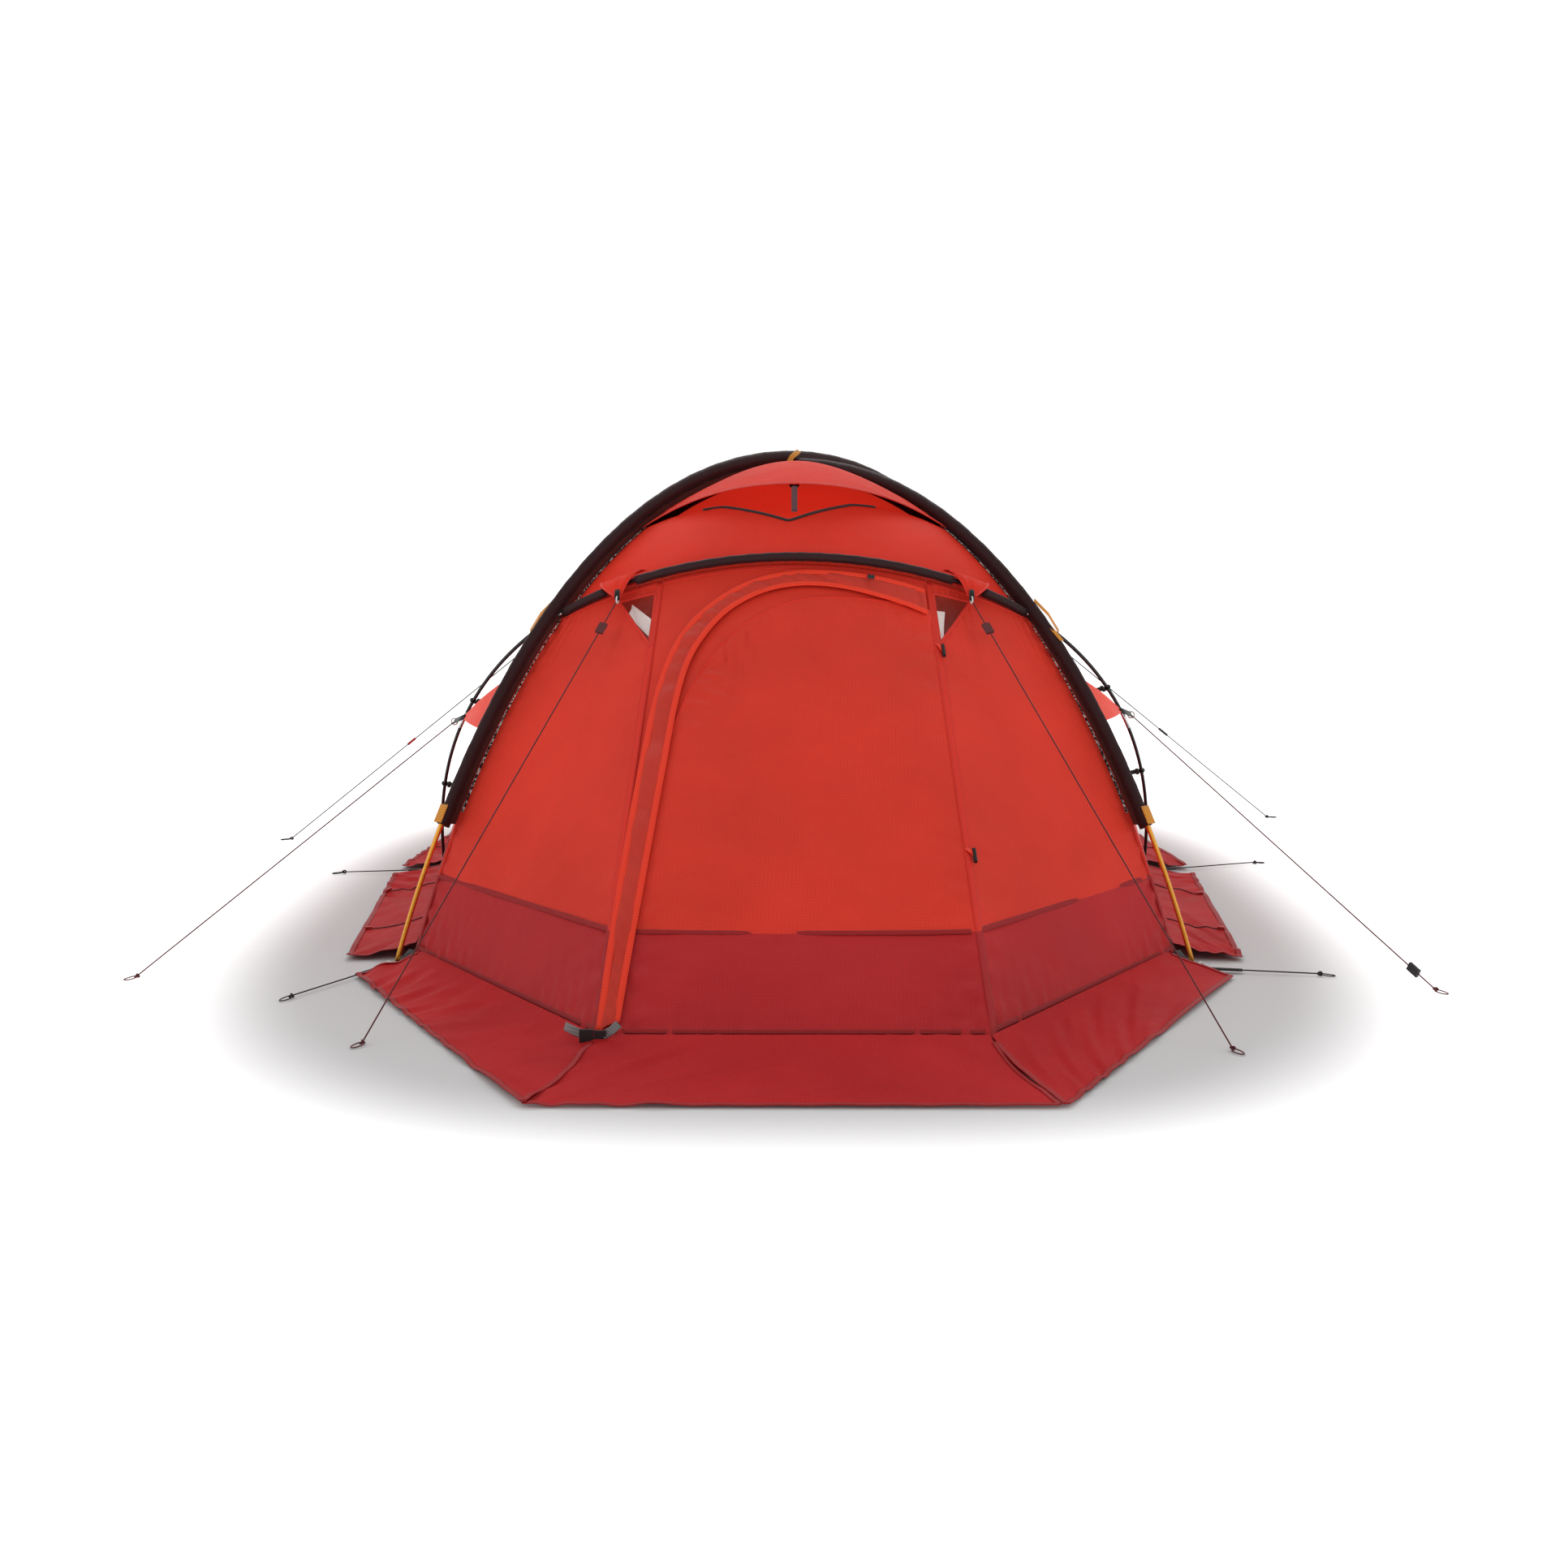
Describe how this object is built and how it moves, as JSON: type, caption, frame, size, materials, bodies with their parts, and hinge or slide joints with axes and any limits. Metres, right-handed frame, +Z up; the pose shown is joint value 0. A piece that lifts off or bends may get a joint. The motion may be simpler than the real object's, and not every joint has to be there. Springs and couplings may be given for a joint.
{
  "type": "dome tent",
  "caption": "pole-supported dome tent with crossing main poles, front and rear hoops, zipped vestibule door, propped vent hood, ground-level snow skirts, an inner tent and guy lines",
  "frame": {"origin": "middle of the footprint on the ground, measured without the guy lines", "axes": "+Z up from the ground, -Y out through the door, +X to the right when facing the door from outside"},
  "size_m": [3.0118, 3.251, 1.137],
  "materials": {
    "shell_cloth": "coated ripstop polyester, orange-red",
    "band_cloth": "coated polyester, dark red",
    "sleeve_cloth": "smooth polyester, dark burgundy",
    "flap_cloth": "coated polyester, red",
    "inner_cloth": "breathable polyester, white",
    "floor_cloth": "heavy coated polyester",
    "clear_film": "clear flexible film",
    "gold_alloy": "anodised gold",
    "black_alloy": "anodised black",
    "black_plastic": "moulded black plastic",
    "webbing": "woven webbing",
    "cord": "braided cord"
  },
  "bodies": {
    "tent": {"main_pole_a": "gold_alloy", "main_pole_b": "gold_alloy", "hoop_pole_front": "black_alloy", "hoop_pole_rear": "black_alloy", "main_sleeve_a": "sleeve_cloth", "main_sleeve_b": "sleeve_cloth", "hoop_sleeve_front": "shell_cloth", "roof_front": "shell_cloth", "roof_rear": "shell_cloth", "roof_left": "shell_cloth", "roof_right": "shell_cloth", "side_front_left": "shell_cloth", "side_front_right": "shell_cloth", "side_rear_left": "shell_cloth", "side_rear_right": "shell_cloth", "rear_wall": "shell_cloth", "vestibule_left": "shell_cloth", "vestibule_right": "shell_cloth", "door_surround": "shell_cloth", "window_left": "clear_film", "window_right": "clear_film", "inner_front": "inner_cloth", "inner_right": "inner_cloth", "inner_rear": "inner_cloth", "inner_left": "inner_cloth", "groundsheet": "floor_cloth", "guy_front_left": "cord", "guy_front_right": "cord", "guy_side_left": "cord", "guy_side_right": "cord", "guy_rear_left": "cord", "guy_rear_right": "cord", "stake_hoop_left": "cord", "stake_hoop_right": "cord", "stake_foot_left": "cord", "stake_foot_right": "cord", "foot_strap_left": "webbing", "foot_strap_right": "webbing", "buckle_socket": "black_plastic"},
    "door": {"door_panel": "shell_cloth", "door_flap": "flap_cloth"},
    "front_skirt": {"skirt_front": "band_cloth"},
    "door_slider": {"zip_slider": "black_plastic"},
    "hood": {"vent_hood": "shell_cloth"},
    "prop": {"vent_prop": "black_plastic"},
    "tongue": {"buckle_tongue": "black_plastic"},
    "upper_toggle": {"door_toggle_upper": "black_plastic"},
    "lower_toggle": {"door_toggle_lower": "black_plastic"},
    "left_front_skirt": {"skirt_left_front": "band_cloth"},
    "right_front_skirt": {"skirt_right_front": "band_cloth"},
    "right_rear_skirt": {"skirt_right_rear": "band_cloth"},
    "left_rear_skirt": {"skirt_left_rear": "band_cloth"},
    "rear_skirt": {"skirt_rear": "band_cloth"},
    "front_left_skirt": {"skirt_front_left": "band_cloth"},
    "front_right_skirt": {"skirt_front_right": "band_cloth"},
    "slider_front_left": {"tensioner_front_left": "black_plastic"},
    "slider_front_right": {"tensioner_front_right": "black_plastic"},
    "slider_side_right": {"tensioner_side_right": "black_plastic"},
    "slider_rear_left": {"tensioner_rear_left": "black_plastic"},
    "slider_rear_right": {"tensioner_rear_right": "black_plastic"}
  },
  "joints": [
    {"name": "door_swing", "type": "hinge", "parent": "tent", "child": "door", "pos_m": [0.37, -1.31206, 0.01107], "axis": [-0.0508, 0.7666, 0.6401], "range_deg": [0, 80]},
    {"name": "front_skirt_fold", "type": "hinge", "parent": "door", "child": "front_skirt", "pos_m": [0, -1.3145, 0.0015], "axis": [-1, 0, 0], "range_deg": [0, 68]},
    {"name": "left_front_skirt_fold", "type": "hinge", "parent": "tent", "child": "left_front_skirt", "pos_m": [-0.93947, 0.39522, 0.0015], "axis": [-0.0879, 0.9961, 0], "range_deg": [0, 60]},
    {"name": "right_front_skirt_fold", "type": "hinge", "parent": "tent", "child": "right_front_skirt", "pos_m": [0.85098, -0.60794, 0.0015], "axis": [-0.0879, -0.9961, 0], "range_deg": [0, 60]},
    {"name": "right_rear_skirt_fold", "type": "hinge", "parent": "tent", "child": "right_rear_skirt", "pos_m": [0.94298, 0.43594, 0.0015], "axis": [0.0879, -0.9961, 0], "range_deg": [0, 60]},
    {"name": "left_rear_skirt_fold", "type": "hinge", "parent": "tent", "child": "left_rear_skirt", "pos_m": [-0.85098, 1.47894, 0.0015], "axis": [0.0879, 0.9961, 0], "range_deg": [0, 60]},
    {"name": "rear_skirt_fold", "type": "hinge", "parent": "tent", "child": "rear_skirt", "pos_m": [0.846, 1.4835, 0.0015], "axis": [1, 0, 0], "range_deg": [0, 80]},
    {"name": "front_left_skirt_fold", "type": "hinge", "parent": "tent", "child": "front_left_skirt", "pos_m": [-0.8232, -0.65003, 0.0015], "axis": [-0.5612, 0.8277, 0], "range_deg": [0, 40]},
    {"name": "front_right_skirt_fold", "type": "hinge", "parent": "tent", "child": "front_right_skirt", "pos_m": [0.8232, -0.65003, 0.0015], "axis": [-0.5612, -0.8277, 0], "range_deg": [0, 10]},
    {"name": "zip_slide", "type": "slide", "parent": "tent", "child": "door_slider", "axis": [-0.9731, -0.1556, 0.1701], "range_m": [0, 0.15]},
    {"name": "hood_close", "type": "hinge", "parent": "tent", "child": "hood", "pos_m": [0, 0.33472, 1.11084], "axis": [1, 0, 0], "range_deg": [0, 3]},
    {"name": "prop_fold", "type": "hinge", "parent": "hood", "child": "prop", "pos_m": [0, -0.17301, 1.0471], "axis": [0, 0.8785, -0.4778], "range_deg": [0, 81]},
    {"name": "tongue_release", "type": "slide", "parent": "door", "child": "tongue", "axis": [1, 0, 0], "range_m": [0, 0.03]},
    {"name": "upper_toggle_turn", "type": "hinge", "parent": "tent", "child": "upper_toggle", "pos_m": [0.33055, -0.49992, 0.68765], "axis": [0.4511, -0.5514, 0.7018], "range_deg": [-35, 35]},
    {"name": "lower_toggle_turn", "type": "hinge", "parent": "tent", "child": "lower_toggle", "pos_m": [0.36474, -0.94362, 0.30951], "axis": [0.4511, -0.5514, 0.7018], "range_deg": [-35, 35]},
    {"name": "slider_front_left_slide", "type": "slide", "parent": "tent", "child": "slider_front_left", "axis": [-0.331, -0.7067, -0.6253], "range_m": [-0.04, 0.4]},
    {"name": "slider_front_right_slide", "type": "slide", "parent": "tent", "child": "slider_front_right", "axis": [0.3258, -0.7203, -0.6125], "range_m": [-0.04, 0.4]},
    {"name": "slider_side_right_slide", "type": "slide", "parent": "tent", "child": "slider_side_right", "axis": [0.4685, -0.7635, -0.4445], "range_m": [-0.4, 0.03]},
    {"name": "slider_rear_left_slide", "type": "slide", "parent": "tent", "child": "slider_rear_left", "axis": [-0.7561, -0.2403, -0.6087], "range_m": [-0.25, 0.3]},
    {"name": "slider_rear_right_slide", "type": "slide", "parent": "tent", "child": "slider_rear_right", "axis": [0.7756, 0.1179, -0.6201], "range_m": [-0.25, 0.3]}
  ],
  "couplings": [
    {"joint": "front_skirt_fold", "follows": "door_swing", "ratio": 0.85},
    {"joint": "prop_fold", "follows": "hood_close", "ratio": 27}
  ]
}
